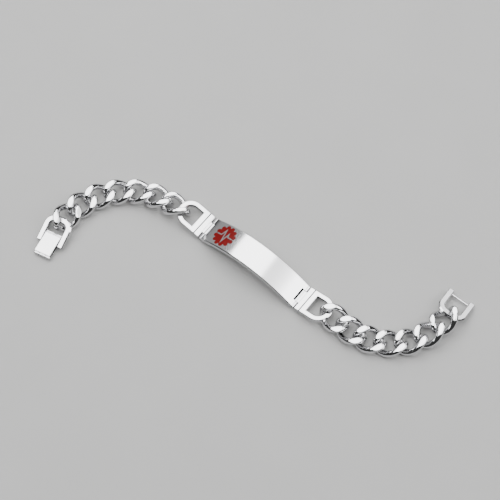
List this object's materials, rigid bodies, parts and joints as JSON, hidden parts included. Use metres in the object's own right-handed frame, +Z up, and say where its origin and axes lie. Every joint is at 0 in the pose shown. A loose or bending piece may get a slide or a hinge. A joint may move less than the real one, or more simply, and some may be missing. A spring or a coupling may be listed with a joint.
{
  "type": "medical alert bracelet",
  "caption": "Curb-link medical alert bracelet with a curved identity plate, an enamel badge and a fold-over clasp, lying open.",
  "frame": {"origin": "middle of the open bracelet's length and width, on the surface that it lies on", "axes": "+X along the laid bracelet from the fold-over clasp to the catch bar, +Y across it, +Z up"},
  "size_m": [0.1702, 0.0754, 0.009],
  "materials": {
    "steel": "mirror-polished stainless steel",
    "enamel": "glossy resin enamel"
  },
  "bodies": {
    "bracelet": {"id_plate": "steel", "enamel_badge": "enamel", "left_hinge_pin": "steel", "right_hinge_pin": "steel", "left_end_link": "steel", "right_end_link": "steel", "left_link_1": "steel", "left_link_2": "steel", "left_link_3": "steel", "left_link_4": "steel", "left_link_5": "steel", "left_link_6": "steel", "left_link_7": "steel", "right_link_1": "steel", "right_link_2": "steel", "right_link_3": "steel", "right_link_4": "steel", "right_link_5": "steel", "right_link_6": "steel", "right_link_7": "steel", "left_bail": "steel", "tongue_bar": "steel", "right_bail": "steel", "catch_bar": "steel"},
    "tongue": {"clasp_tongue": "steel", "cover_pin": "steel"},
    "cover": {"clasp_cover": "steel"}
  },
  "joints": [
    {"name": "tongue_hinge", "type": "hinge", "parent": "bracelet", "child": "tongue", "pos_m": [-0.07884, 0.01097, 0.00138], "axis": [-0.8848, 0.4583, -0.0838], "range_deg": [0, 33]},
    {"name": "cover_hinge", "type": "hinge", "parent": "tongue", "child": "cover", "pos_m": [-0.08179, 0.00524, 0.00119], "axis": [0.8848, -0.4583, 0.0838], "range_deg": [0, 115]}
  ]
}
